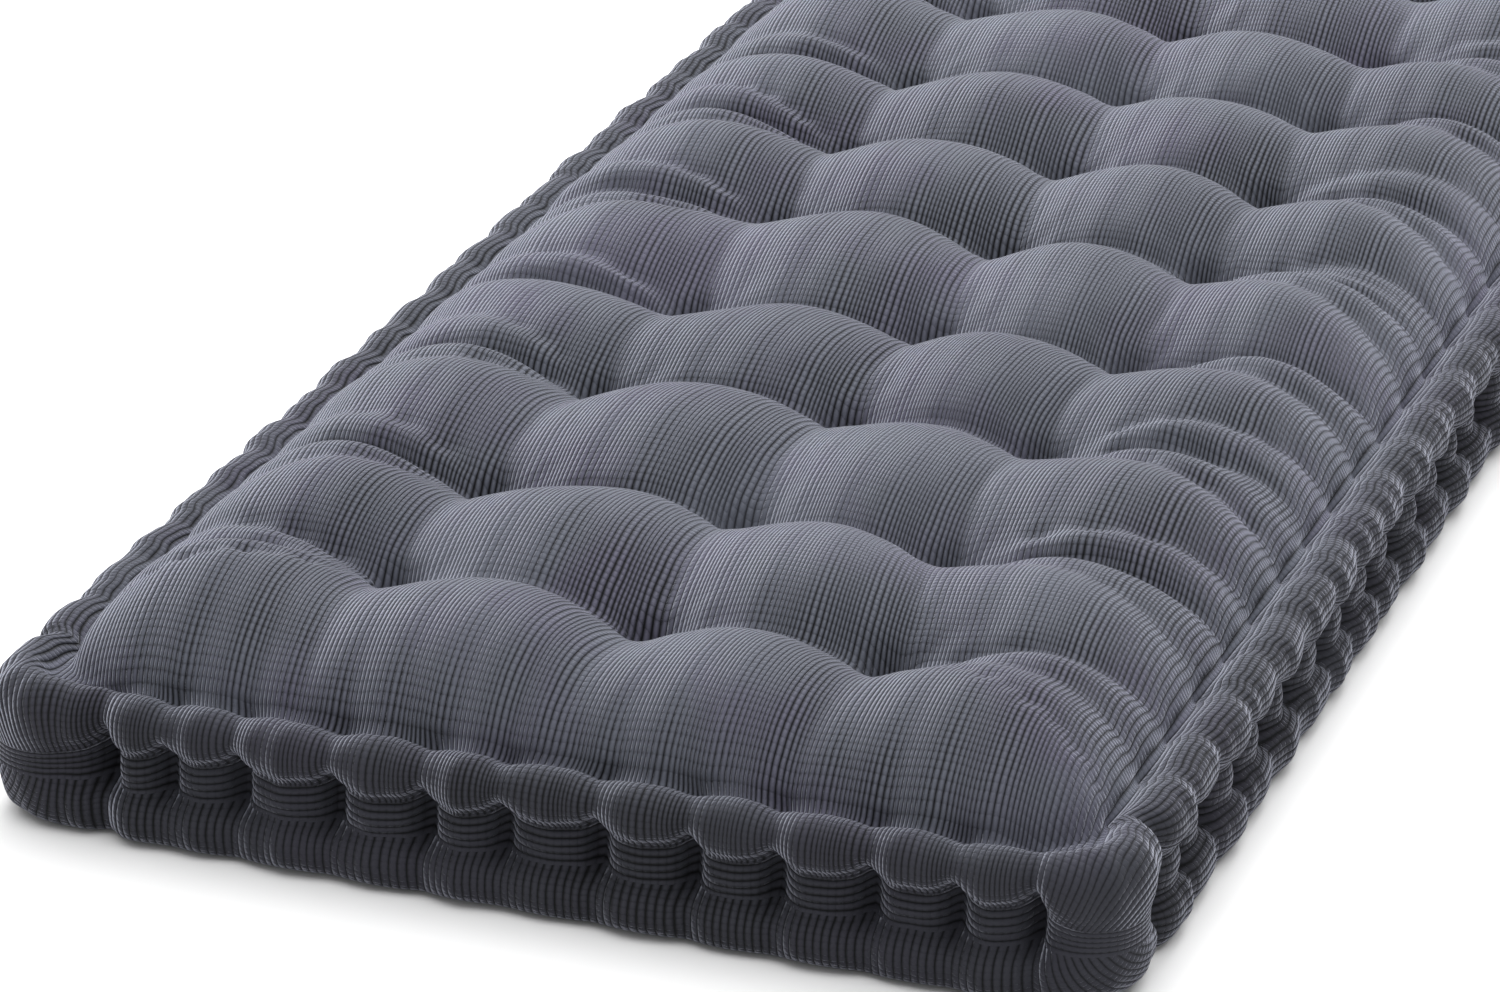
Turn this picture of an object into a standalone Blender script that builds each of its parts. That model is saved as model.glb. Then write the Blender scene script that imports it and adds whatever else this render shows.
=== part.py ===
# Bench cushion in the French-mattress manner: one filled cover with a rolled,
# hand-stitched rim and a top that is drawn down by cloth-covered buttons.
# Metres, +Z up. The origin is the middle of the flat underside, X runs across
# the cushion and Y along it, away from the front end.

import math
from collections import namedtuple

import bmesh
import bpy
from mathutils import Vector

# Cushion
WIDTH = 0.500
LENGTH = 1.200
CORNER_RADIUS = 0.040
CROWN_HEIGHT = 0.098        # top of a pillow between four tufts
SEAT_HEIGHT = 0.062         # top of the cloth under a button
ROW_VALLEY_DEPTH = 0.014    # creases that run across, from tuft to tuft
COLUMN_VALLEY_DEPTH = 0.009  # softer creases that run along

# Top panel, inside the rolled rim
PANEL_INSET = 0.034         # from the outline to the edge of the panel
PANEL_EDGE_HEIGHT = 0.0605
CROWN_REACH = 0.075         # from the panel's edge to where it is fully crowned
BORDER_FADE = 0.9           # width of the border pillows against the inner ones

# Tufts, counted from the left front corner. The first row is measured from
# the front edge.
COLUMN_COUNT = 3
ROW_COUNT = 10
TUFT_SPACING = 0.1067       # both ways, so the pillows are square
FIRST_ROW = (LENGTH - (ROW_COUNT - 1) * TUFT_SPACING) / 2
SEAT_SIZE = 0.022           # flat of drawn-in cloth under each button
CELLS_PER_PILLOW = 4        # of the panel's grid, from seat to seat

# Hand tufting is uneven: how far each tuft lies off the even grid, in mm.
# One row for each row of tufts, from the front.
TuftOffset = namedtuple("TuftOffset", "left_x left_y middle_x middle_y right_x right_y")
TUFT_OFFSETS_MM = (
    TuftOffset(-4, 6, 8, -4, 4, 0),
    TuftOffset(1, -8, 7, -2, -5, -6),
    TuftOffset(4, 2, 12, 7, -4, 8),
    TuftOffset(10, -4, 18, 3, 5, 4),
    TuftOffset(8, 10, 14, 10, 4, 15),
    TuftOffset(7, 2, 12, 7, 5, 12),
    TuftOffset(6, -5, 10, 4, 5, 5),
    TuftOffset(5, -3, 7, -2, 7, -6),
    TuftOffset(2, 0, 3, 0, 3, 0),
    TuftOffset(0, 0, 0, 0, 0, 0),
)

# Rolled rim: an upper and a lower roll with a recessed band between them, all
# three nipped in by upright stitches. Each corner is a plump upright ear.
BLOCKS_ACROSS = 11          # padded blocks between stitches on a short side
BLOCKS_ALONG = 28           # and on a long side
STATIONS_PER_BLOCK = 3      # one at the stitch, the others on the block
EAR_SEGMENTS = 4

# One row for each level of the rim, from the panel seam down to the underside:
# distance in from the outline and height, at a block, at a stitch and at an ear.
RimLevel = namedtuple("RimLevel", "block_in block_z stitch_in stitch_z ear_in ear_z")
RIM_LEVELS = (
    RimLevel(0.0270, 0.0585, 0.0270, 0.0570, 0.0230, 0.0570),
    RimLevel(0.0150, 0.0645, 0.0170, 0.0600, 0.0140, 0.0660),
    RimLevel(0.0040, 0.0605, 0.0090, 0.0565, 0.0030, 0.0600),
    RimLevel(0.0000, 0.0515, 0.0060, 0.0510, 0.0000, 0.0500),
    RimLevel(0.0100, 0.0415, 0.0140, 0.0420, 0.0010, 0.0400),
    RimLevel(0.0100, 0.0260, 0.0140, 0.0255, 0.0010, 0.0270),
    RimLevel(0.0000, 0.0130, 0.0060, 0.0130, 0.0015, 0.0120),
    RimLevel(0.0045, 0.0030, 0.0090, 0.0030, 0.0060, 0.0030),
    RimLevel(0.0110, 0.0000, 0.0140, 0.0000, 0.0120, 0.0000),
)

# Buttons
BUTTON_RADIUS = 0.009
BUTTON_HEIGHT = 0.0055
BUTTON_STEPS = 10
BUTTON_GAP = 0.0003         # clearance between a button and the cloth under it

COVER_COLOUR = (0.058, 0.066, 0.086, 1.0)
BUTTON_COLOUR = (0.050, 0.057, 0.075, 1.0)
CLOTH_ROUGHNESS = 0.9


def make_material(name, colour):
    material = bpy.data.materials.new(name)
    material.use_nodes = True
    shader = material.node_tree.nodes["Principled BSDF"]
    shader.inputs["Base Color"].default_value = colour
    shader.inputs["Roughness"].default_value = CLOTH_ROUGHNESS
    shader.inputs["Metallic"].default_value = 0.0
    return material


def grid_lines(first_tuft, count, half_size):
    """Lines of the panel's grid along one axis, as (position, tuft number).

    Both edges of a tuft's flat seat carry that tuft's whole number. The number
    is -1 at the near edge of the panel and the count of tufts at the far edge.
    """
    stops = [(-half_size, -1.0)]
    for number in range(count):
        middle = first_tuft + number * TUFT_SPACING
        stops.append((middle - SEAT_SIZE / 2, float(number)))
        stops.append((middle + SEAT_SIZE / 2, float(number)))
    stops.append((half_size, float(count)))

    lines = [stops[0]]
    for start, end in zip(stops, stops[1:]):
        if start[1] == end[1]:
            cells = 1
        else:
            cells = CELLS_PER_PILLOW
        for step in range(1, cells + 1):
            share = step / cells
            lines.append((start[0] + (end[0] - start[0]) * share,
                          start[1] + (end[1] - start[1]) * share))
    return lines


def tuft_offset(column, row):
    """Offset of one tuft from the even grid. The panel's edge has none."""
    if not (0 <= column < COLUMN_COUNT and 0 <= row < ROW_COUNT):
        return Vector((0.0, 0.0))
    offsets = TUFT_OFFSETS_MM[row]
    return Vector(offsets[2 * column:2 * column + 2]) / 1000


def panel_offset(column, row):
    """The tufts' offsets, blended evenly over the cloth between them."""
    left, front = math.floor(column), math.floor(row)
    across, along = column - left, row - front
    near = tuft_offset(left, front).lerp(tuft_offset(left + 1, front), across)
    far = tuft_offset(left, front + 1).lerp(tuft_offset(left + 1, front + 1), across)
    return near.lerp(far, along)


def rise(number, count):
    """0 on a line of tufts, 1 midway between lines and near the panel's edge."""
    if number < 0:
        return math.sin(math.pi * min(0.5, -number * BORDER_FADE))
    if number > count - 1:
        return math.sin(math.pi * min(0.5, (number - count + 1) * BORDER_FADE))
    return abs(math.sin(math.pi * number))


def panel_height(x, y, column, row):
    near_column = 1 - rise(column, COLUMN_COUNT)
    near_row = 1 - rise(row, ROW_COUNT)
    tuft_depth = CROWN_HEIGHT - SEAT_HEIGHT - ROW_VALLEY_DEPTH - COLUMN_VALLEY_DEPTH
    quilted = (CROWN_HEIGHT - ROW_VALLEY_DEPTH * near_row
               - COLUMN_VALLEY_DEPTH * near_column
               - tuft_depth * near_column * near_row)

    edge = min(WIDTH / 2 - abs(x), LENGTH / 2 - abs(y)) - PANEL_INSET
    reach = min(1.0, max(0.0, edge) / CROWN_REACH)
    crowned = math.sqrt(1 - (1 - reach) ** 2)
    return PANEL_EDGE_HEIGHT + (quilted - PANEL_EDGE_HEIGHT) * crowned


def add_panel(bm):
    """The quilted top inside the rim. Returns its boundary edges."""
    column_lines = grid_lines(-TUFT_SPACING, COLUMN_COUNT, WIDTH / 2 - PANEL_INSET)
    row_lines = grid_lines(FIRST_ROW - LENGTH / 2, ROW_COUNT, LENGTH / 2 - PANEL_INSET)
    cells_x, cells_y = len(column_lines) - 1, len(row_lines) - 1
    grid = bmesh.ops.create_grid(bm, x_segments=cells_x, y_segments=cells_y, size=0.5)
    for vert in grid["verts"]:
        x, column = column_lines[round((vert.co.x + 0.5) * cells_x)]
        y, row = row_lines[round((vert.co.y + 0.5) * cells_y)]
        offset = panel_offset(column, row)
        vert.co = (x + offset.x, y + offset.y, panel_height(x, y, column, row))
    return [edge for edge in bm.edges if edge.is_boundary]


def rim_stations():
    """Places round the outline, as (point, outward normal, kind)."""
    half_x = WIDTH / 2 - CORNER_RADIUS
    half_y = LENGTH / 2 - CORNER_RADIUS
    # Each side: its first corner's centre, its direction, normal and blocks.
    sides = (
        (Vector((-half_x, -half_y)), Vector((1, 0)), Vector((0, -1)), BLOCKS_ACROSS),
        (Vector((half_x, -half_y)), Vector((0, 1)), Vector((1, 0)), BLOCKS_ALONG),
        (Vector((half_x, half_y)), Vector((-1, 0)), Vector((0, 1)), BLOCKS_ACROSS),
        (Vector((-half_x, half_y)), Vector((0, -1)), Vector((-1, 0)), BLOCKS_ALONG),
    )
    stations = []
    for start, direction, normal, blocks in sides:
        run = 2 * (half_x if direction.x else half_y)
        steps = STATIONS_PER_BLOCK * blocks
        for step in range(steps + 1):
            place = start + direction * (run * step / steps) + normal * CORNER_RADIUS
            kind = "block" if step % STATIONS_PER_BLOCK else "stitch"
            stations.append((place, normal, kind))
        centre = start + direction * run
        for step in range(1, EAR_SEGMENTS):
            turn = math.pi / 2 * step / EAR_SEGMENTS
            ear_normal = normal * math.cos(turn) + direction * math.sin(turn)
            stations.append((centre + ear_normal * CORNER_RADIUS, ear_normal, "ear"))
    return stations


def add_ring(bm, stations, level):
    """One closed loop of the rim. Returns its edges."""
    inset = {"block": level.block_in, "stitch": level.stitch_in, "ear": level.ear_in}
    height = {"block": level.block_z, "stitch": level.stitch_z, "ear": level.ear_z}
    ring = bmesh.ops.create_circle(bm, segments=len(stations), radius=1.0)
    for vert, (place, normal, kind) in zip(ring["verts"], stations):
        flat = place - normal * inset[kind]
        vert.co = (flat.x, flat.y, height[kind])
    return list({edge for vert in ring["verts"] for edge in vert.link_edges})


def build_cover(collection):
    bm = bmesh.new()
    above = add_panel(bm)
    stations = rim_stations()
    for level in RIM_LEVELS:
        ring = add_ring(bm, stations, level)
        bmesh.ops.bridge_loops(bm, edges=above + ring)
        above = ring
    bmesh.ops.contextual_create(bm, geom=above)
    bmesh.ops.recalc_face_normals(bm, faces=bm.faces)

    mesh = bpy.data.meshes.new("cushion_body")
    bm.to_mesh(mesh)
    bm.free()
    mesh.shade_smooth()
    cover = bpy.data.objects.new("cushion_body", mesh)
    mesh.materials.append(make_material("cover_corduroy", COVER_COLOUR))
    collection.objects.link(cover)
    return cover


def build_button_mesh():
    """A flat-backed dome, turned from its half profile."""
    profile = ((0.0, 1.0), (0.5, 0.9), (0.85, 0.6), (1.0, 0.2), (0.9, 0.0), (0.0, 0.0))
    bm = bmesh.new()
    verts = [bm.verts.new((radius * BUTTON_RADIUS, 0, height * BUTTON_HEIGHT))
             for radius, height in profile]
    edges = [bm.edges.new(pair) for pair in zip(verts, verts[1:])]
    bmesh.ops.spin(bm, geom=verts + edges, axis=(0, 0, 1), cent=(0, 0, 0),
                   angle=2 * math.pi, steps=BUTTON_STEPS, use_merge=True)
    bmesh.ops.remove_doubles(bm, verts=bm.verts, dist=0.0001)
    bmesh.ops.recalc_face_normals(bm, faces=bm.faces)
    mesh = bpy.data.meshes.new("tuft_button")
    bm.to_mesh(mesh)
    bm.free()
    mesh.shade_smooth()
    mesh.materials.append(make_material("button_cloth", BUTTON_COLOUR))
    return mesh


def build_buttons(collection):
    mesh = build_button_mesh()
    for row in range(ROW_COUNT):
        for column, side in enumerate(("left", "middle", "right")):
            offset = tuft_offset(column, row)
            button = bpy.data.objects.new(f"button_{row + 1}_{side}", mesh)
            button.location = ((column - 1) * TUFT_SPACING + offset.x,
                               FIRST_ROW - LENGTH / 2 + row * TUFT_SPACING + offset.y,
                               SEAT_HEIGHT + BUTTON_GAP)
            collection.objects.link(button)


def main():
    for item in list(bpy.data.objects):
        bpy.data.objects.remove(item, do_unlink=True)
    collection = bpy.data.collections.new("bench_cushion")
    bpy.context.scene.collection.children.link(collection)
    build_cover(collection)
    build_buttons(collection)


main()
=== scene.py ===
import math

import bpy
import numpy as np
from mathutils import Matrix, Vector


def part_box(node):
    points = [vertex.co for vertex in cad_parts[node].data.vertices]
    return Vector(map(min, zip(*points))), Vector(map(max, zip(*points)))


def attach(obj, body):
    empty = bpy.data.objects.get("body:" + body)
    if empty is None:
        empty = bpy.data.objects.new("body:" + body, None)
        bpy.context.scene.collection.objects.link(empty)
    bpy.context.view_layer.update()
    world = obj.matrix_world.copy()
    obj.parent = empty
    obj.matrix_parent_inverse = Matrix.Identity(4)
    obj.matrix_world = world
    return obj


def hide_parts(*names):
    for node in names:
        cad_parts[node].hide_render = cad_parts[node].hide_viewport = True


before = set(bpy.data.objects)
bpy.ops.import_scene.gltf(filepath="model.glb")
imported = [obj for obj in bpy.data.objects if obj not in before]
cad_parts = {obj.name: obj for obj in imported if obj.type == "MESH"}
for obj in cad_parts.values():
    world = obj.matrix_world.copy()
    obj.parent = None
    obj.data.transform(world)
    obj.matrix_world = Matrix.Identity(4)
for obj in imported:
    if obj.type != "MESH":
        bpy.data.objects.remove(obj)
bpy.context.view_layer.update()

bodyLow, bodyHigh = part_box("cushion_body")
scene = bpy.context.scene
rng = np.random.default_rng(12)

halfWidth = (bodyHigh[0] - bodyLow[0]) / 2
halfLength = (bodyHigh[1] - bodyLow[1]) / 2
sideNames = ("left", "middle", "right")
rowCount = sum(name.endswith("_middle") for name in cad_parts)


def buttonPlace(row, side):
    # middle of a CAD button's flat back
    low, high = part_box(f"button_{row + 1}_{side}")
    return (low[0] + high[0]) / 2, (low[1] + high[1]) / 2, low[2]


tufts = np.array([[buttonPlace(row, side) for side in sideNames] for row in range(rowCount)])


def linear(hexColour):
    # sRGB hex to the linear colour that a shader takes
    parts = [int(hexColour[i:i + 2], 16) / 255 for i in (1, 3, 5)]
    return tuple(p / 12.92 if p <= 0.04045 else ((p + 0.055) / 1.055) ** 2.4 for p in parts) + (1.0,)


def selectOnly(ob):
    bpy.ops.object.select_all(action="DESELECT")
    ob.select_set(True)
    bpy.context.view_layer.objects.active = ob


def points(ob):
    co = np.empty(len(ob.data.vertices) * 3)
    ob.data.vertices.foreach_get("co", co)
    return co.reshape(-1, 3)


def setPoints(ob, co):
    ob.data.vertices.foreach_set("co", co.ravel())
    ob.data.update()


def smoothStep(low, high, value):
    t = np.clip((value - low) / (high - low), 0, 1)
    return t * t * (3 - 2 * t)


# The camera stands beyond the front right corner and looks down along the cushion.
camera = {"place": (0.8437, -2.5689, 1.1543), "tilt": 24.30, "turn": 20.80, "lens": 145.2}


def addCamera():
    bpy.ops.object.camera_add(
        location=camera["place"],
        rotation=(math.radians(90 - camera["tilt"]), 0, math.radians(camera["turn"])))
    bpy.context.object.data.lens = camera["lens"]
    bpy.context.object.data.sensor_width = 36
    scene.camera = bpy.context.object


addCamera()


cover = {
    # cells of the grid that the cloth is cut from
    "cellsAcross": 92,
    "cellsAlong": 236,
    "cornerCells": 7,
    "ringCount": 24,           # rings from the panel's seam down to the underside
    # the outline and the panel's seam
    "cornerRadius": 0.040,
    "seamIn": 0.025,
    "seamHeight": 0.0575,
    # the panel's rise from its seam
    "crown": 0.1040,
    "crownReach": 0.080,
    "crownSteepness": 2.5,
    "crownRoundness": 0.66,
    "cornerSquareness": 5,
    # creases between the pillows: their depth, and a width that is smaller for a finer crease
    "rowValley": 0.025,
    "rowWidth": 0.48,
    "endRowWidth": 0.5,
    "columnValley": 0.0125,
    "columnWidth": 0.85,
    "sideColumnWidth": 0.9,
    "creaseSoftness": 0.0006,
    "borderFade": 0.80,        # how soon the outer pillows rise past the last tufts
    "rowFade": 0.52,           # how much of a crease is lost towards the edge
    "columnFade": 0.45,
    # the pinch at a tuft, its button's seat, and the pleats round it
    "pinch": 0.008,
    "pinchReach": 0.008,
    "seatHeight": 0.0612,
    "seatRadius": 0.0100,
    "pleatHeight": 0.0010,
    "pleatCount": 9,
    "pleatAt": 0.020,
    "pleatWidth": 0.010,
    "pleatTurn": 1.7,          # from one tuft to the next, in radians
    # folds from the outer tufts to the stitches, and short ones at the two ends
    "foldDepth": 0.0110,
    "foldSpread": 0.022,
    "foldWidth": 0.55,
    "foldBend": 0.75,
    "foldRise": 0.35,
    "endFoldDepth": 0.0045,
    "endFoldReach": 0.024,
    "endFoldWidth": 0.006,
    # long, low swells over the whole top
    "unevenness": 0.0007,
    # the rim
    "sideCalm": 0.62,          # how deep the upper roll is nipped along the two long sides
    "earNotch": 0.005,
    "earNotchWidth": 0.005,
    # the cloth simulation
    "simFrames": 20,
    "pressure": 250.0,
    "tuftHold": 0.013,         # cloth nearer a tuft than this is held
    "stitchHold": 0.30,        # cloth nearer a stitch than this share of a block is held
    "mostMove": 0.005,
}

# Upright stitches round the rim. Widths in mm of the front's blocks, left to right; the
# other sides are even. All have a little jitter but for the stitches beside an ear.
frontBlocks = (27, 34, 41, 38, 37, 38, 40, 38, 39, 37, 31)
frontStart = -0.190      # the left ear is the wide one
sideBlocks = 27
sideStart = 0.060        # from the front or back edge to the first stitch of a long side
backBlocks = 11
stitchJitter = 0.0025

# Section of the rim from the panel seam down to the underside: how far in from the
# outline and how high, in mm, midway along a block, at a stitch and on an ear.
rimSection = (
    # blockIn blockZ stitchIn stitchZ earIn earZ
    (23.0, 58.5, 28.5, 53.0, 22.0, 58.0),
    (19.5, 62.5, 22.5, 57.0, 17.0, 65.0),
    (12.5, 65.0, 14.5, 61.5, 10.5, 67.0),
    (5.0, 63.0, 8.0, 60.0, 3.5, 63.5),
    (0.6, 57.5, 4.4, 56.0, -0.5, 56.0),
    (-0.3, 49.5, 6.0, 52.0, -1.5, 48.0),
    (2.0, 43.5, 12.0, 48.0, -1.5, 41.5),
    (6.8, 41.5, 24.0, 44.0, -1.0, 37.5),
    (4.6, 32.5, 27.0, 33.5, -1.0, 32.0),
    (6.4, 23.5, 23.0, 23.0, -1.0, 26.0),
    (2.6, 21.5, 8.0, 19.5, -0.5, 20.5),
    (-0.5, 15.0, 4.2, 15.5, 0.5, 14.5),
    (0.5, 7.0, 4.4, 7.5, 2.0, 8.0),
    (4.5, 1.8, 6.5, 2.0, 6.0, 2.5),
    (11.0, 0.0, 12.5, 0.0, 12.0, 0.0),
)
# how square a block is along the rim: 1 is a round pillow, small is a box with a narrow notch
blockPower = (0.8, 0.8, 0.8, 0.75, 0.7, 0.65, 0.5, 0.40, 0.36, 0.40, 0.55, 0.7, 0.7, 0.8, 0.8)
earPower = 0.38
rollRows = (1.4, 5.6)    # the rows of rimSection that make the upper roll
bandRows = (7, 9)        # the rows between which the boxing strip shows
sectionSamples = 400     # steps in which the section is measured

# small puckers along the rim: size, wavelength and phase
puckers = ((0.0007, 0.0131, 0.4), (0.0006, 0.0187, 2.1), (0.0009, 0.0710, 1.0))
# the swells over the top: wavelength, heading and phase
swells = ((0.071, 0.5, 0.3), (0.093, 2.3, 1.9), (0.052, 1.4, 4.0), (0.128, 2.9, 5.1))

# the outline: four straight runs joined by quarter circles, anticlockwise from above
cornerArc = math.pi / 2 * cover["cornerRadius"]
runAcross = 2 * (halfWidth - cover["cornerRadius"])
runAlong = 2 * (halfLength - cover["cornerRadius"])
outlineSides = ("front", "right", "back", "left")
sideStarts = np.cumsum([0, runAcross + cornerArc, runAlong + cornerArc, runAcross + cornerArc])
outlineLength = sideStarts[3] + runAlong + cornerArc

# the share of the grid, each way, that goes into the straight runs
straightX = cover["cellsAcross"] / (cover["cellsAcross"] + 2 * cover["cornerCells"])
straightY = cover["cellsAlong"] / (cover["cellsAlong"] + 2 * cover["cornerCells"])
gridEdge = 0.999999      # a point of the grid past this, of 1, is on its edge

# the even grid that the tufts are near
tuftSpacing = (tufts[-1, 1, 1] - tufts[0, 1, 1]) / (rowCount - 1)
firstX = -tuftSpacing
firstY = -tuftSpacing * (rowCount - 1) / 2

# what differs from one pillow or fold to the next
pillowLot = rng.uniform(-0.0016, 0.0022, (rowCount + 1, len(sideNames) + 1))
foldLots = 60            # more than a long side has folds
foldLot = {side: rng.uniform(0.55, 1.15, foldLots) for side in (-1, 1)}


def curveThrough(rows, at):
    # a smooth curve through the rows, read at fractional row numbers
    rows = np.asarray(rows, float)
    padded = np.vstack([2 * rows[0] - rows[1], rows, 2 * rows[-1] - rows[-2]])
    i = np.clip(np.floor(at).astype(int), 0, len(rows) - 2)
    t = (at - i)[:, None]
    a, b, c, d = (padded[i + k] for k in range(4))
    return 0.5 * (2 * b + (c - a) * t + (2 * a - 5 * b + 4 * c - d) * t ** 2
                  + (3 * b - a - 3 * c + d) * t ** 3)


def makeCoverMesh():
    # a flat grid for the top panel, its edge extruded down ring by ring and left open below;
    # the shape is given to it afterwards
    bpy.ops.object.select_all(action="DESELECT")
    bpy.ops.mesh.primitive_grid_add(
        x_subdivisions=cover["cellsAcross"] + 2 * cover["cornerCells"],
        y_subdivisions=cover["cellsAlong"] + 2 * cover["cornerCells"], size=1, calc_uvs=False)
    ob = bpy.context.object
    ob.name = ob.data.name = "tufted_cover"
    bpy.ops.object.mode_set(mode="EDIT")
    bpy.ops.mesh.select_mode(type="EDGE")
    bpy.ops.mesh.select_all(action="SELECT")
    bpy.ops.mesh.region_to_loop()
    for _ in range(cover["ringCount"]):
        bpy.ops.mesh.extrude_edges_move(TRANSFORM_OT_translate={"value": (0, 0, -1)})
    bpy.ops.mesh.select_all(action="SELECT")
    bpy.ops.mesh.normals_make_consistent(inside=False)
    bpy.ops.object.mode_set(mode="OBJECT")
    return ob


def perimeterStitches():
    # places of the stitches along the outline, counted from the left end of the front's
    # straight run, and whether an ear follows each
    r = cover["cornerRadius"]
    front = frontStart + halfWidth - r + np.cumsum((0,) + frontBlocks) / 1000
    sides = np.linspace(sideStart - r, runAlong - sideStart + r, sideBlocks + 1)
    back = np.linspace(0, runAcross, backBlocks + 1)
    groups = []
    for start, even in zip(sideStarts, (front, sides, back, sides)):
        group = start + even
        group[1:-1] += rng.uniform(-stitchJitter, stitchJitter, len(group) - 2)
        groups.append(group)
    earNext = [np.arange(len(group)) == len(group) - 1 for group in groups]
    return np.concatenate(groups), np.concatenate(earNext)


def stitchesOn(places, side):
    # the stitches of one side: x along the front and back, y along the long sides
    number = outlineSides.index(side)
    run = (runAcross, runAlong)[number % 2]
    start = sideStarts[number]
    margin = 0.001
    mine = places[(places > start - margin) & (places < start + run + margin)] - start
    return mine - run / 2 if number < 2 else run / 2 - mine


def intoCorner(flat, straight):
    # 0 along the straight run, rising to 1 at the grid's corner
    return np.clip((np.abs(flat) - straight) / (1 - straight), 0, 1)


def outlineAt(fx, fy):
    # a point of the flat grid, -1 to 1 each way, against the cushion's outline: its foot on
    # the straight run or in the corner's centre, the outward normal and the place along it
    ax, ay = intoCorner(fx, straightX), intoCorner(fy, straightY)
    footX = np.clip(fx / straightX, -1, 1) * runAcross / 2
    footY = np.clip(fy / straightY, -1, 1) * runAlong / 2
    onEnd = np.abs(fy) > gridEdge
    turn = np.where(onEnd, ax, 2 - ay) * math.pi / 4 * ((ax > 0) | ~onEnd)
    turn = np.where(~onEnd & (ay <= 0), math.pi / 2, turn)
    normal = np.stack([np.sign(fx) * np.sin(turn), np.sign(fy) * np.cos(turn)], 1)
    bend = turn * cover["cornerRadius"]
    bendX, bendY = np.sign(fx) * bend, np.sign(fy) * (cornerArc - bend)
    frontPlace = footX + runAcross / 2 + bendX
    rightPlace = sideStarts[1] + footY + runAlong / 2 + bendY
    backPlace = sideStarts[2] - footX + runAcross / 2 - bendX
    leftPlace = sideStarts[3] - footY + runAlong / 2 - bendY
    along = np.where(onEnd, np.where(fy < 0, frontPlace, backPlace),
                     np.where(fx > 0, rightPlace, leftPlace))
    return np.stack([footX, footY], 1), normal, along


def outlinePoint(along):
    # foot and outward normal for a place along the outline; each side takes over from the
    # bend before it
    along = along % outlineLength
    foot, normal = np.zeros((len(along), 2)), np.zeros((len(along), 2))
    hx, hy = runAcross / 2, runAlong / 2
    runs = ((runAcross, (hx, -hy), (1, 0), (0, -1)),
            (runAlong, (hx, hy), (0, 1), (1, 0)),
            (runAcross, (-hx, hy), (-1, 0), (0, 1)),
            (runAlong, (-hx, -hy), (0, -1), (-1, 0)))
    for start, (run, corner, way, outward) in zip(sideStarts, runs):
        past = along - start - run
        straight = (along >= start) & (past < 0)
        foot[straight] = np.array(corner) + past[straight][:, None] * np.array(way)
        normal[straight] = outward
        bent = past >= 0
        a = (past[bent] / cover["cornerRadius"])[:, None]
        foot[bent] = corner
        normal[bent] = np.array(outward) * np.cos(a) + np.array(way) * np.sin(a)
    return foot, normal


def shortWay(gap):
    # the gap between two places along the outline, the shorter way round
    return (gap + outlineLength / 2) % outlineLength - outlineLength / 2


def snapToStitches(along, places):
    # the column of points nearest each stitch is moved onto it
    columns = np.unique(np.round(along % outlineLength, 6))
    stitches = places % outlineLength
    best = columns[np.abs(shortWay(columns[None, :] - stitches[:, None])).argmin(1)]
    shift = shortWay(stitches - best)
    order = np.argsort(best)
    return along + np.interp(along % outlineLength, best[order], shift[order], period=outlineLength)


def stitchState(along, places, earNext, plump):
    # 0 at a stitch and 1 midway to the next, whether it is on an ear, and the block's own
    # plumpness
    rel = places - places[0]
    along = (along - places[0]) % outlineLength
    i = np.searchsorted(rel, along, side="right") - 1
    nextPlace = np.append(rel[1:], outlineLength)
    frac = (along - rel[i]) / (nextPlace[i] - rel[i])
    return np.sin(math.pi * frac), earNext[i], plump[i]


def rimRows():
    # the section read at even steps of cloth: length from the seam, row number and values
    rows = np.array(rimSection) / 1000
    steps = np.linspace(0, len(rows) - 1, sectionSamples)
    dense = curveThrough(rows, steps)
    length = np.concatenate([[0], np.cumsum(np.hypot(np.diff(dense[:, 0]), np.diff(dense[:, 1])))])
    girth = np.linspace(0, length[-1], cover["ringCount"] + 1)
    rowAt = np.interp(girth, length, steps)
    return girth, rowAt, curveThrough(rows, rowAt)


def shapeRim(ring, along, places, earNext, rowAt, section):
    # the rolls, blocks and ears, and how far each point is from its stitch
    plump = rng.uniform(0.80, 1.10, len(places))
    tau, ear, fat = stitchState(along, places, earNext, plump)
    foot, normal = outlinePoint(along)
    power = np.interp(rowAt, np.arange(len(blockPower)), blockPower)[ring]
    blockShare = np.clip(tau, 0, 1) ** power
    onSide = np.abs(normal[:, 0]) > 0.99
    onRoll = (rowAt[ring] > rollRows[0]) & (rowAt[ring] < rollRows[1]) & onSide
    blockShare = np.where(onRoll, 1 - (1 - blockShare) * cover["sideCalm"], blockShare)
    earShare = np.clip(tau, 0, 1) ** earPower
    share = np.where(ear, earShare, blockShare * np.clip(0.35 + 0.65 * fat, 0, 1.1))
    blockIn, blockZ, stitchIn, stitchZ, earIn, earZ = section[ring].T
    inset = stitchIn + (np.where(ear, earIn, blockIn) - stitchIn) * share
    height = stitchZ + (np.where(ear, earZ, blockZ) - stitchZ) * share
    # the stitches beside an ear are pulled tightest
    earPlaces = np.concatenate([places[earNext], np.roll(places, -1)[earNext]]) % outlineLength
    toEar = np.abs(shortWay(along[:, None] - earPlaces)).min(1)
    notch = cover["earNotch"] * np.exp(-(toEar / cover["earNotchWidth"]) ** 2)
    inset = inset + notch * smoothStep(0, 3, ring)
    pucker = sum(size * np.sin(2 * math.pi * along / wave + phase) for size, wave, phase in puckers)
    inset = inset + pucker * smoothStep(0, 2, ring) * (height > 0.003)
    flat = foot + normal * (cover["cornerRadius"] - inset)[:, None]
    return np.column_stack([flat, np.maximum(height, 0)]), tau


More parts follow.
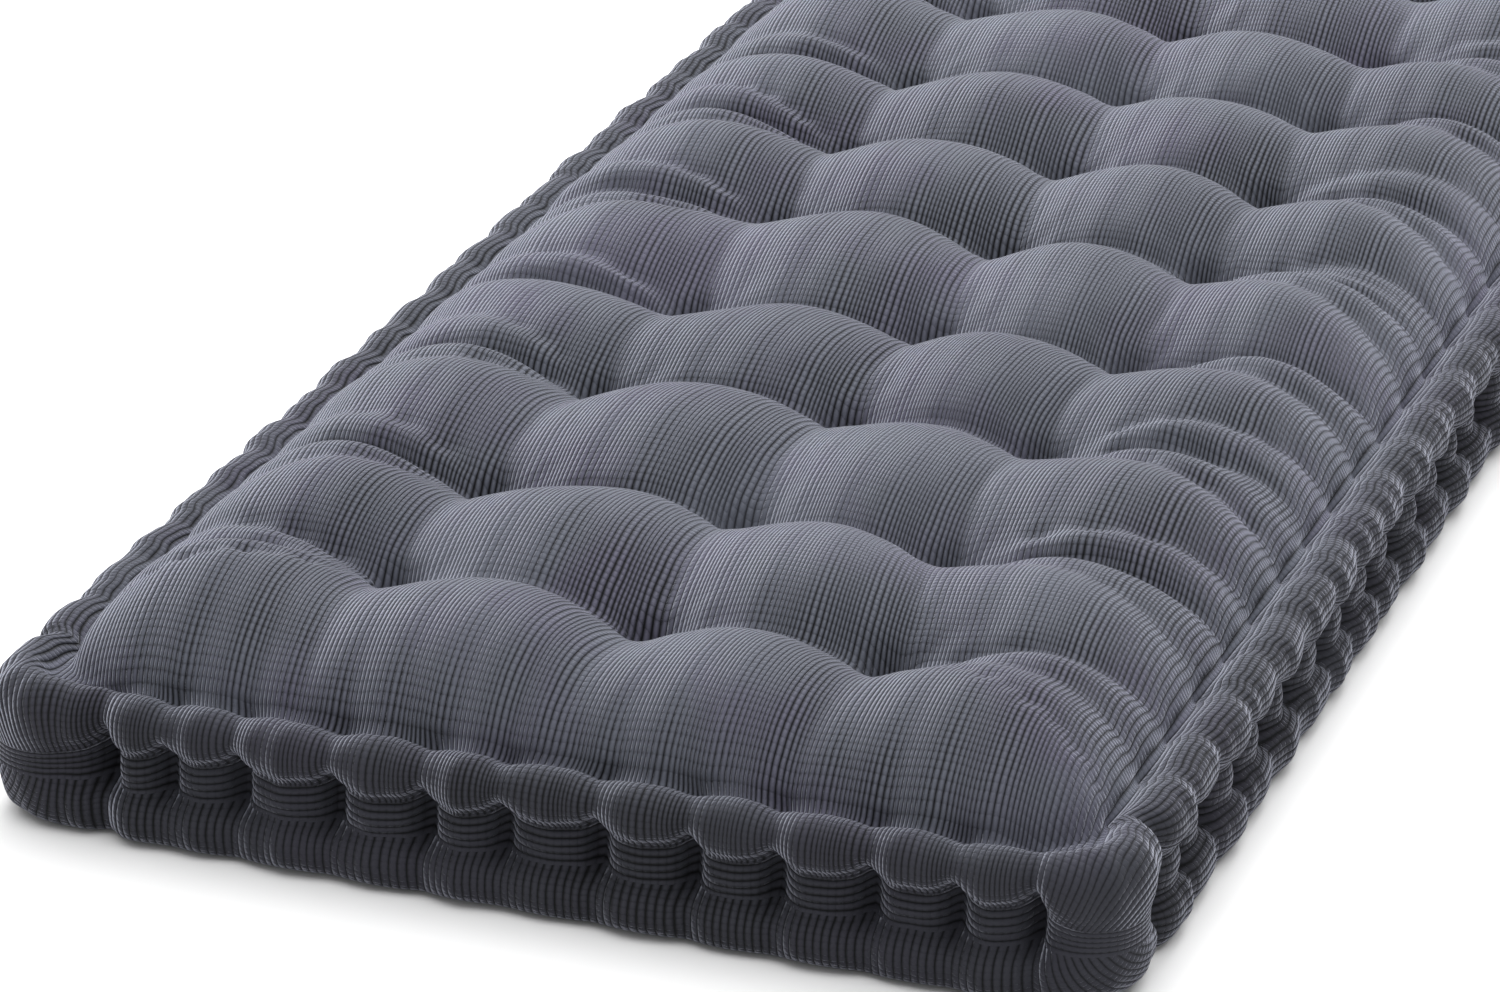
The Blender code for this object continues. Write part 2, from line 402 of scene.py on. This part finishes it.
def valley(value, width):
    # 1 in the crease at every whole number, 0 on the crest midway
    return 1 - np.minimum(np.sin(math.pi * value) ** 2 + cover["creaseSoftness"], 1) ** (width / 2)


def panelHeights(x, y, column, row):
    # height of the pillows, from tuft numbers that are whole at the tufts, and the distance
    # to the nearest tuft
    c = cover
    outC = np.maximum(0, np.maximum(-column, column - (len(sideNames) - 1)))
    outR = np.maximum(0, np.maximum(-row, row - (rowCount - 1)))
    rowPart = np.where(outR > 0, valley(np.minimum(0.5, outR * c["borderFade"]), c["endRowWidth"]),
                       valley(row, c["rowWidth"]))
    columnPart = np.where(
        outC > 0, valley(np.minimum(0.5, outC * c["borderFade"]), c["sideColumnWidth"]),
        valley(column, c["columnWidth"]))
    rowPart = rowPart * (1 - c["rowFade"] * smoothStep(0.05, 0.85, outC))
    columnPart = columnPart * (1 - c["columnFade"] * smoothStep(0.1, 0.95, outR))
    z = c["crown"] - c["rowValley"] * rowPart - c["columnValley"] * columnPart
    # each pillow is a little higher or lower than its neighbours
    lot = pillowLot[np.clip(np.floor(row).astype(int) + 1, 0, rowCount),
                    np.clip(np.floor(column).astype(int) + 1, 0, len(sideNames))]
    z += lot * (1 - rowPart) * (1 - columnPart)
    # the pinch round each tuft, with the little pleats that run into it
    at = tufts.reshape(-1, 3)
    gap = np.hypot(x[:, None] - at[:, 0], y[:, None] - at[:, 1])
    near, which = gap.min(1), gap.argmin(1)
    z -= c["pinch"] * np.exp(-near / c["pinchReach"])
    angle = np.arctan2(y - at[which, 1], x - at[which, 0])
    pleats = np.cos(angle * c["pleatCount"] + which * c["pleatTurn"])
    z += c["pleatHeight"] * pleats * np.exp(-((near - c["pleatAt"]) / c["pleatWidth"]) ** 2)
    for wave, heading, phase in swells:
        reach = x * math.cos(heading) + y * math.sin(heading)
        z += c["unevenness"] * np.sin(2 * math.pi * reach / wave + phase)
    return z, near


def fanFolds(px, py, side, stitches):
    # folds that fan out from the outer tufts to the stitches of a long side, with a
    # rounded ridge between each two creases
    outer = tufts[:, 0 if side < 0 else -1]
    stitches = np.sort(stitches)
    nearest = np.clip(np.rint((stitches - firstY) / tuftSpacing).astype(int), 0, rowCount - 1)
    startY = outer[nearest, 1]
    edge = halfWidth - cover["seamIn"]
    tuftX = np.interp(py, outer[:, 1], outer[:, 0])
    t = np.clip(side * (px - tuftX) / (edge - side * tuftX), 0, 1)
    lines = startY + (stitches - startY) * t[:, None] ** cover["foldBend"]
    # arranged in order even where the lines run together at a tuft
    count = (lines < py[:, None]).sum(1)
    low = np.clip(count - 1, 0, len(stitches) - 2)
    at = np.arange(len(py))
    a, b = lines[at, low], lines[at, low + 1]
    between = np.clip((py - a) / np.maximum(b - a, 1e-5), 0, 1)
    outside = (count == 0) | (count == len(stitches))
    depth = cover["foldDepth"] * np.clip((b - a) / cover["foldSpread"], 0, 1)
    depth = depth * foldLot[side][low] * smoothStep(0.02, 0.32, t)
    return np.where(outside | (t <= 0), 0, depth * valley(between, cover["foldWidth"]))


def endFolds(px, py, end, stitches):
    # short folds that run in from the stitches of the front or back
    inFromSeam = (halfLength - cover["seamIn"]) - end * py
    folds = np.zeros(len(px))
    for stitchX in stitches:
        depth = cover["endFoldDepth"] * np.exp(-(inFromSeam / cover["endFoldReach"]) ** 2)
        folds += depth * np.exp(-np.abs(px - stitchX) / cover["endFoldWidth"])
    return folds


def tuftNudge(column, row):
    # how far the cloth goes sideways to follow the tufts off the even grid
    nudges = np.zeros((rowCount + 2, len(sideNames) + 2, 2))
    for r in range(rowCount):
        for k in range(len(sideNames)):
            nudges[r + 1, k + 1] = (tufts[r, k, 0] - (firstX + k * tuftSpacing),
                                    tufts[r, k, 1] - (firstY + r * tuftSpacing))
    ci = np.clip(np.floor(column).astype(int), -1, len(sideNames) - 1)
    ri = np.clip(np.floor(row).astype(int), -1, rowCount - 1)
    ct = smoothStep(0, 1, column - ci)[:, None]
    rt = smoothStep(0, 1, row - ri)[:, None]
    lower = nudges[ri + 1, ci + 1] * (1 - ct) + nudges[ri + 1, ci + 2] * ct
    upper = nudges[ri + 2, ci + 1] * (1 - ct) + nudges[ri + 2, ci + 2] * ct
    return lower * (1 - rt) + upper * rt


def shapePanel(x, y, places):
    # the quilted top: its points, and each one's distance to the nearest tuft
    c = cover
    edgeX, edgeY = halfWidth - c["seamIn"], halfLength - c["seamIn"]
    column = (x - firstX) / tuftSpacing
    row = (y - firstY) / tuftSpacing
    px, py = (np.column_stack([x, y]) + tuftNudge(column, row)).T
    longSides = {side: stitchesOn(places, name) for side, name in ((-1, "left"), (1, "right"))}
    # the crease of each row runs on from its outer tuft to the nearest stitch
    for side, stitches in longSides.items():
        ty = tufts[:, 0 if side < 0 else -1, 1]
        nearest = stitches[np.abs(stitches[:, None] - ty).argmin(0)]
        t = np.clip((side * x - tuftSpacing) / (edgeX - tuftSpacing), 0, 1)
        row = row - np.interp(py, ty, nearest - ty) * t ** c["foldBend"] / tuftSpacing
    z, near = panelHeights(px, py, column, row)
    folds = np.zeros(len(z))
    for side, stitches in longSides.items():
        folds += fanFolds(px, py, side, stitches)
    for end, name in ((-1, "front"), (1, "back")):
        folds += endFolds(px, py, end, stitchesOn(places, name))
    # the panel rises from its seam, and is rounded off in the corners
    ex = np.clip((edgeX - np.abs(x)) / c["crownReach"], 0, 1)
    ey = np.clip((edgeY - np.abs(y)) / c["crownReach"], 0, 1)
    square = c["cornerSquareness"]
    away = np.clip(((1 - ex) ** square + (1 - ey) ** square) ** (1 / square), 0, 1)
    crowned = (1 - away ** c["crownSteepness"]) ** c["crownRoundness"]
    panelZ = c["seamHeight"] + (z - c["seamHeight"]) * crowned - folds * crowned ** c["foldRise"]
    seat = np.exp(-(near / c["seatRadius"]) ** 6)
    panelZ = panelZ * (1 - seat) + np.minimum(panelZ, c["seatHeight"]) * seat
    return np.column_stack([px, py, panelZ]), near


def sculptCover(ob):
    # the flat grid's points are moved to their places; returns what the cloth map and the
    # simulation need to know of each
    co = points(ob)
    ring = np.rint(-co[:, 2]).astype(int)
    fx, fy = co[:, 0] * 2, co[:, 1] * 2
    onEdge = (np.abs(fx) > gridEdge) | (np.abs(fy) > gridEdge)
    onPanel = ring == 0
    places, earNext = perimeterStitches()
    foot, normal, along = outlineAt(fx, fy)
    along[onEdge] = snapToStitches(along[onEdge], places)
    girth, rowAt, section = rimRows()
    out, tau = shapeRim(ring, along, places, earNext, rowAt, section)

    ax, ay = intoCorner(fx, straightX), intoCorner(fy, straightY)
    inner = cover["cornerRadius"] - cover["seamIn"]
    x = foot[:, 0] + np.sign(fx) * inner * ax * np.sqrt(1 - ay ** 2 / 2)
    y = foot[:, 1] + np.sign(fy) * inner * ay * np.sqrt(1 - ax ** 2 / 2)
    panel, near = shapePanel(x, y, places)
    inside = onPanel & ~onEdge
    out[inside] = panel[inside]
    setPoints(ob, out)
    return {"ring": ring, "x": x, "y": y, "along": along, "normal": normal, "girth": girth,
            "rowAt": rowAt, "onPanel": onPanel, "height": out[:, 2], "near": near, "tau": tau,
            "boundary": onPanel & onEdge}


def unrolled(coordinate, info):
    # the coordinate as length of cloth over the cushion's mean section, so that the ribs
    # keep their width on the slopes
    steps = 59
    onPanel = info["onPanel"]
    edges = np.linspace(0, np.abs(coordinate[onPanel]).max(), steps + 1)
    which = np.clip(np.digitize(np.abs(coordinate), edges) - 1, 0, steps - 1)[onPanel]
    mean = np.bincount(which, info["height"][onPanel], steps)
    mean = mean / np.maximum(np.bincount(which, minlength=steps), 1)
    mean = np.convolve(np.pad(mean, 2, mode="edge"), np.ones(5) / 5, mode="valid")
    step = edges[1] - edges[0]
    slope = np.gradient(mean, step)
    stretch = np.concatenate([[0], np.cumsum(np.sqrt(1 + slope ** 2) * step)])
    return np.sign(coordinate) * np.interp(np.abs(coordinate), edges, stretch)


def clothMap(ob, info):
    # UV in metres of flat cloth: U across the ribs, V along them. The top with the upper
    # roll, the boxing strip, and the lower roll are three lays of cloth.
    me = ob.data
    corners = np.empty(len(me.loops), int)
    starts = np.empty(len(me.polygons), int)
    totals = np.empty(len(me.polygons), int)
    me.loops.foreach_get("vertex_index", corners)
    me.polygons.foreach_get("loop_start", starts)
    me.polygons.foreach_get("loop_total", totals)
    ring, x, y, normal, rowAt = (info[k] for k in ("ring", "x", "y", "normal", "rowAt"))
    girth = info["girth"][ring]
    lowGirth = info["girth"][-1] - girth
    u, v = unrolled(x, info), unrolled(y, info)
    upper = np.column_stack([u + normal[:, 0] * girth, v + normal[:, 1] * girth])[corners]
    lower = np.column_stack([x + normal[:, 0] * lowGirth, y + normal[:, 1] * lowGirth])[corners]
    # a face across the outline's start takes its far points past the end
    place = info["along"][corners]
    farthest = np.repeat(np.maximum.reduceat(place, starts), totals)
    place = np.where(place < farthest - outlineLength / 2, place + outlineLength, place)
    strip = np.column_stack([girth[corners], place])

    highRing = np.minimum.reduceat(ring[corners], starts)
    lowRing = np.maximum.reduceat(ring[corners], starts)
    rowMid = np.repeat((rowAt[lowRing] + rowAt[highRing]) / 2, totals)[:, None]
    uv = np.where(rowMid < bandRows[0], upper, np.where(rowMid < bandRows[1], strip, lower))
    layer = me.uv_layers.new(name="cloth")
    layer.uv.foreach_set("vector", uv.astype(np.float32).ravel())
    # painted shade: how deep in the rim's shade a point is, for the cloth's colour and relief; it
    # deepens from the seam down over the upper roll
    shade = np.where(ring == 0, 0, 0.30 + 0.56 * smoothStep(0.3, 4.6, rowAt[ring]))
    rim = me.attributes.new("rim", "FLOAT", "POINT")
    rim.data.foreach_set("value", shade.astype(np.float32))


def inflate(ob, info):
    # Cloth under pressure, held at the tufts, the seam, the stitches and underneath; it
    # fills out between them and draws taut.
    rest = points(ob)
    held = info["onPanel"] & (info["near"] < cover["tuftHold"])
    held |= info["boundary"] | (info["ring"] == 1)
    held |= (info["ring"] > 1) & (info["tau"] < cover["stitchHold"])
    held |= info["ring"] >= cover["ringCount"] - 2
    group = ob.vertex_groups.new(name="held")
    group.add(np.flatnonzero(held).tolist(), 1.0, "REPLACE")
    selectOnly(ob)
    mod = ob.modifiers.new("Fill", "CLOTH")
    cloth = mod.settings
    cloth.quality = 4
    cloth.mass = 0.3
    cloth.tension_stiffness = 8
    cloth.compression_stiffness = 8
    cloth.shear_stiffness = 4
    cloth.bending_stiffness = 0.3
    cloth.vertex_group_mass = "held"
    cloth.use_pressure = True
    cloth.uniform_pressure_force = cover["pressure"]
    cloth.effector_weights.gravity = 0
    mod.collision_settings.use_collision = False
    mod.collision_settings.use_self_collision = False
    mod.point_cache.frame_start = 1
    mod.point_cache.frame_end = cover["simFrames"]
    for step in range(1, cover["simFrames"] + 1):
        scene.frame_set(step)
    blown = points(ob.evaluated_get(bpy.context.evaluated_depsgraph_get()))
    ob.modifiers.remove(mod)
    scene.frame_set(1)
    move = blown - rest
    far = np.linalg.norm(move, axis=1)
    print(f"cloth moved {far.mean() * 1000:.2f} mm on average, {far.max() * 1000:.2f} mm at most")
    move *= (np.minimum(far, cover["mostMove"]) / np.maximum(far, 1e-9))[:, None]
    settled = rest + np.nan_to_num(move)
    settled[:, 2] = np.maximum(settled[:, 2], 0)
    ob.vertex_groups.clear()
    setPoints(ob, settled)


def closeUnderside(ob):
    # one flat face across the bottom, its cloth laid out from above
    selectOnly(ob)
    bpy.ops.object.mode_set(mode="EDIT")
    bpy.ops.mesh.select_mode(type="EDGE")
    bpy.ops.mesh.select_all(action="DESELECT")
    bpy.ops.mesh.select_non_manifold()
    bpy.ops.mesh.edge_face_add()
    bpy.ops.mesh.select_all(action="SELECT")
    bpy.ops.mesh.normals_make_consistent(inside=False)
    bpy.ops.object.mode_set(mode="OBJECT")
    layer = ob.data.uv_layers["cloth"]
    for face in ob.data.polygons:
        if len(face.vertices) > 4:
            for loop, vertex in zip(face.loop_indices, face.vertices):
                layer.uv[loop].vector = ob.data.vertices[vertex].co.xy


def subdivide(ob):
    selectOnly(ob)
    mod = ob.modifiers.new("Round", "SUBSURF")
    mod.levels = mod.render_levels = 1
    bpy.ops.object.modifier_apply(modifier=mod.name)


def buildCover():
    ob = makeCoverMesh()
    print("cover mesh", len(ob.data.vertices))
    info = sculptCover(ob)
    clothMap(ob, info)
    inflate(ob, info)
    subdivide(ob)
    closeUnderside(ob)
    bpy.ops.object.shade_smooth()
    return ob


def addNode(tree, kind, settings=None, inputs=None, links=None):
    node = tree.nodes.new(kind)
    for name, value in (settings or {}).items():
        setattr(node, name, value)
    for name, value in (inputs or {}).items():
        node.inputs[name].default_value = value
    for name, socket in (links or {}).items():
        tree.links.new(socket, node.inputs[name])
    return node


def setColours(mix, first, second):
    # a Mix node's two colour sockets
    for socket, colour in ((6, first), (7, second)):
        if colour:
            mix.inputs[socket].default_value = linear(colour)


corduroy = {
    "ribPitch": 0.0034,        # a medium corduroy, 7 or 8 ribs to the inch
    "kernelPitch": 0.0030,     # the ribs are cut across into kernels
    "ribRoundness": 0.85,      # smaller is a flatter rib with a narrower groove
    "kernelRoundness": 0.5,
    "kernelDepth": 0.35,       # share of the pile's height that is cut across
    "relief": 0.0012,
    "rimRelief": 0.70,         # pulled round tight curves, the rim's ribs lie flatter
    "wobble": 0.0006,          # the ribs stray this far from straight,
    "wobbleScale": 90.0,       # over about 11 mm
    "pileScale": 1600.0,       # tufts of pile about 0.6 mm apart
    "pileDepth": 0.25,
    "patchScale": 14.0,        # the dye varies over about 70 mm
    "napScale": 9.0,           # the pile is brushed over in patches of about 110 mm,
    "napFill": 0.30,           # where it hides this share of a groove and its painted shade
    "grooveAt": 0.24,          # heights at which the painted shade in a groove is darkest and a crest palest
    "crestAt": 0.90,
    "crest": "#585b65",
    # painted shade: the colour of the shade in a groove between the ribs
    "paintedGrooveShade": "#07080b",
    "tint": "#575665",
    # painted shade: the colour that the rim is darkened towards
    "rim": "#24242a",
    "roughness": 0.9,
    "specular": 0.25,
    "sheen": 1.0,
    "sheenRoughness": 0.22,
    "sheenTint": "#c9ccdc",
}


def corduroyMaterial():
    # corn-kernel corduroy: soft cut-pile ribs, with painted shade in the grooves, pale at
    # grazing angles where the pile's tips catch the light
    mat = bpy.data.materials.new("cut_pile_corduroy")
    mat.use_nodes = True
    t = mat.node_tree
    shader = t.nodes["Principled BSDF"]
    uv = addNode(t, "ShaderNodeUVMap", {"uv_map": "cloth"})
    xyz = addNode(t, "ShaderNodeTexCoord")
    wobble = addNode(t, "ShaderNodeTexNoise", inputs={"Scale": corduroy["wobbleScale"], "Detail": 2.0},
                     links={"Vector": xyz.outputs["Object"]})
    shift = addNode(t, "ShaderNodeVectorMath", {"operation": "MULTIPLY_ADD"},
                    {1: (corduroy["wobble"], corduroy["wobble"], 0)},
                    {0: wobble.outputs["Color"], 2: uv.outputs["UV"]})
    split = addNode(t, "ShaderNodeSeparateXYZ", links={"Vector": shift.outputs["Vector"]})

    def ridge(axis, pitch, roundness):
        # 0 in a groove and 1 on a crest, once in each pitch
        turns = addNode(t, "ShaderNodeMath", {"operation": "MULTIPLY"}, {1: math.pi / pitch},
                        {0: split.outputs[axis]})
        wave = addNode(t, "ShaderNodeMath", {"operation": "SINE"}, links={0: turns.outputs[0]})
        size = addNode(t, "ShaderNodeMath", {"operation": "ABSOLUTE"}, links={0: wave.outputs[0]})
        return addNode(t, "ShaderNodeMath", {"operation": "POWER"}, {1: roundness},
                       {0: size.outputs[0]})

    rib = ridge("X", corduroy["ribPitch"], corduroy["ribRoundness"])
    kernel = ridge("Y", corduroy["kernelPitch"], corduroy["kernelRoundness"])
    pile = addNode(t, "ShaderNodeTexNoise", inputs={"Scale": corduroy["pileScale"], "Detail": 3.0},
                   links={"Vector": xyz.outputs["Object"]})
    kernelPart = addNode(t, "ShaderNodeMath", {"operation": "MULTIPLY_ADD"},
                         {1: corduroy["kernelDepth"], 2: 1 - corduroy["kernelDepth"]},
                         {0: kernel.outputs[0]})
    height = addNode(t, "ShaderNodeMath", {"operation": "MULTIPLY"},
                     links={0: rib.outputs[0], 1: kernelPart.outputs[0]})
    fuzzy = addNode(t, "ShaderNodeMath", {"operation": "MULTIPLY_ADD"}, {1: corduroy["pileDepth"]},
                    {0: pile.outputs["Fac"], 2: height.outputs[0]})
    # the rim's painted shade, which also flattens the relief
    rim = addNode(t, "ShaderNodeAttribute", {"attribute_name": "rim"})
    relief = addNode(t, "ShaderNodeMapRange", inputs={"To Min": 1.0, "To Max": corduroy["rimRelief"]},
                     links={"Value": rim.outputs["Fac"]})
    bump = addNode(t, "ShaderNodeBump", inputs={"Distance": corduroy["relief"]},
                   links={"Height": fuzzy.outputs[0], "Strength": relief.outputs["Result"]})
    t.links.new(bump.outputs["Normal"], shader.inputs["Normal"])

    patches = addNode(t, "ShaderNodeTexNoise", inputs={"Scale": corduroy["patchScale"], "Detail": 3.0},
                      links={"Vector": xyz.outputs["Object"]})
    spread = addNode(t, "ShaderNodeMapRange", inputs={"From Min": 0.45, "From Max": 0.65},
                     links={"Value": patches.outputs["Fac"]})
    tinted = addNode(t, "ShaderNodeMix", {"data_type": "RGBA"},
                     links={"Factor": spread.outputs["Result"]})
    setColours(tinted, corduroy["crest"], corduroy["tint"])
    # painted shade over the rim: the crest colour darkened towards the rim shade colour
    crest = addNode(t, "ShaderNodeMix", {"data_type": "RGBA"}, links={"Factor": rim.outputs["Fac"]})
    setColours(crest, None, corduroy["rim"])
    t.links.new(tinted.outputs[2], crest.inputs[6])
    # patches where the pile is brushed over and hides the grooves and their painted shade
    brushed = addNode(t, "ShaderNodeTexNoise", inputs={"Scale": corduroy["napScale"], "Detail": 4.0},
                      links={"Vector": xyz.outputs["Object"]})
    lay = addNode(t, "ShaderNodeMapRange",
                  inputs={"From Min": 0.42, "From Max": 0.70, "To Max": corduroy["napFill"]},
                  links={"Value": brushed.outputs["Fac"]})
    filled = addNode(t, "ShaderNodeMath", {"operation": "ADD"},
                     links={0: height.outputs[0], 1: lay.outputs["Result"]})
    # painted shade: the colour runs from the groove's shade where the rib is low to the crest colour
    # where it is high
    lit = addNode(t, "ShaderNodeMapRange",
                  inputs={"From Min": corduroy["grooveAt"], "From Max": corduroy["crestAt"]},
                  links={"Value": filled.outputs[0]})
    colour = addNode(t, "ShaderNodeMix", {"data_type": "RGBA"}, links={"Factor": lit.outputs["Result"]})
    setColours(colour, corduroy["paintedGrooveShade"], None)
    t.links.new(crest.outputs[2], colour.inputs[7])
    t.links.new(colour.outputs[2], shader.inputs["Base Color"])
    shader.inputs["Roughness"].default_value = corduroy["roughness"]
    shader.inputs["Specular IOR Level"].default_value = corduroy["specular"]
    shader.inputs["Sheen Weight"].default_value = corduroy["sheen"]
    shader.inputs["Sheen Roughness"].default_value = corduroy["sheenRoughness"]
    shader.inputs["Sheen Tint"].default_value = linear(corduroy["sheenTint"])
    return mat


coverOb = buildCover()
coverOb.data.materials.append(corduroyMaterial())
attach(coverOb, "root")
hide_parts("cushion_body")
print("cover", len(coverOb.data.polygons))


button = {
    "radius": 0.0088,
    "drumHeight": 0.0030,
    "roundSteps": 24,
    # the dome, step by step: how far in and how far up
    "dome": ((0.0014, 0.0010), (0.0024, 0.0007), (0.0024, 0.0003)),
    "pileScale": 1400.0,       # tufts of pile about 0.7 mm apart
    "relief": 0.0004,
    "reliefStrength": 0.6,
    "roughness": 0.9,
    "sheen": 0.5,
}


def modelButton():
    # a short drum, its rim rounded and its top domed, under gathered cloth
    bpy.ops.object.select_all(action="DESELECT")
    bpy.ops.mesh.primitive_cylinder_add(
        vertices=button["roundSteps"], radius=button["radius"], depth=button["drumHeight"],
        location=(0, 0, button["drumHeight"] / 2))
    ob = bpy.context.object
    bpy.ops.object.transform_apply(location=True, rotation=True, scale=True)
    bpy.ops.object.mode_set(mode="EDIT")
    bpy.ops.mesh.select_mode(type="FACE")
    bpy.ops.mesh.select_all(action="DESELECT")
    bpy.ops.object.mode_set(mode="OBJECT")
    for face in ob.data.polygons:
        face.select = face.normal.z > 0.9
    bpy.ops.object.mode_set(mode="EDIT")
    for width, lift in button["dome"]:
        bpy.ops.mesh.inset(thickness=width, depth=lift)
    bpy.ops.mesh.select_all(action="SELECT")
    bpy.ops.mesh.normals_make_consistent(inside=False)
    bpy.ops.object.mode_set(mode="OBJECT")
    subdivide(ob)
    bpy.ops.object.shade_smooth()
    return ob


def buttonMaterial():
    # the same cloth drawn tight over a button: the pile is pressed flat, so it is plainer;
    # the pile noise mottles it towards the painted groove shade, which makes it a little darker
    mat = bpy.data.materials.new("pressed_pile_button")
    mat.use_nodes = True
    t = mat.node_tree
    shader = t.nodes["Principled BSDF"]
    xyz = addNode(t, "ShaderNodeTexCoord")
    pile = addNode(t, "ShaderNodeTexNoise", inputs={"Scale": button["pileScale"], "Detail": 3.0},
                   links={"Vector": xyz.outputs["Object"]})
    # the pile noise mottles the crest colour towards the painted groove shade colour
    colour = addNode(t, "ShaderNodeMix", {"data_type": "RGBA"}, links={"Factor": pile.outputs["Fac"]})
    setColours(colour, corduroy["paintedGrooveShade"], corduroy["crest"])
    t.links.new(colour.outputs[2], shader.inputs["Base Color"])
    bump = addNode(t, "ShaderNodeBump",
                   inputs={"Strength": button["reliefStrength"], "Distance": button["relief"]},
                   links={"Height": pile.outputs["Fac"]})
    t.links.new(bump.outputs["Normal"], shader.inputs["Normal"])
    shader.inputs["Roughness"].default_value = button["roughness"]
    shader.inputs["Sheen Weight"].default_value = button["sheen"]
    return mat


def buildButtons():
    first = modelButton()
    first.data.materials.append(buttonMaterial())
    for row in range(rowCount):
        for side in sideNames:
            ob = first.copy()
            ob.data = first.data.copy()
            ob.name = ob.data.name = f"tuft_button_{row + 1}_{side}"
            scene.collection.objects.link(ob)
            setPoints(ob, points(ob) + np.array(buttonPlace(row, side)))
            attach(ob, "root")
            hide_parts(f"button_{row + 1}_{side}")
    bpy.data.objects.remove(first)
    print("buttons", rowCount * len(sideNames))


buildButtons()


studio = {
    "floorSize": 60,
    "floorDrop": 0.0004,       # just clear of the cushion's underside
    "paper": "#fbfbfb",
    "paperRoughness": 0.9,
    "roomLight": 0.52,
    # place, size and watts of each soft box
    "backBox": ((-0.5, 2.4, 2.2), 2.4, 125),
    "topBox": ((0.0, 0.0, 3.2), 5.4, 170),
}


def addStudio():
    bpy.ops.object.select_all(action="DESELECT")
    bpy.ops.mesh.primitive_plane_add(size=studio["floorSize"], location=(0, 0, -studio["floorDrop"]))
    floor = bpy.context.object
    floor.name = "studio_floor"
    paper = bpy.data.materials.new("white_paper")
    paper.use_nodes = True
    shader = paper.node_tree.nodes["Principled BSDF"]
    shader.inputs["Base Color"].default_value = linear(studio["paper"])
    shader.inputs["Roughness"].default_value = studio["paperRoughness"]
    floor.data.materials.append(paper)
    world = bpy.data.worlds.new("soft_room")
    world.use_nodes = True
    background = world.node_tree.nodes["Background"]
    background.inputs["Color"].default_value = (1, 1, 1, 1)
    background.inputs["Strength"].default_value = studio["roomLight"]
    scene.world = world
    for name in ("backBox", "topBox"):
        place, size, watts = studio[name]
        bpy.ops.object.light_add(type="AREA", location=place)
        lamp = bpy.context.object
        lamp.name = name
        lamp.data.size = size
        lamp.data.energy = watts
        lamp.rotation_euler = (-lamp.location).to_track_quat("-Z", "Y").to_euler()
    print("studio")


addStudio()
scene.view_settings.view_transform = "Standard"
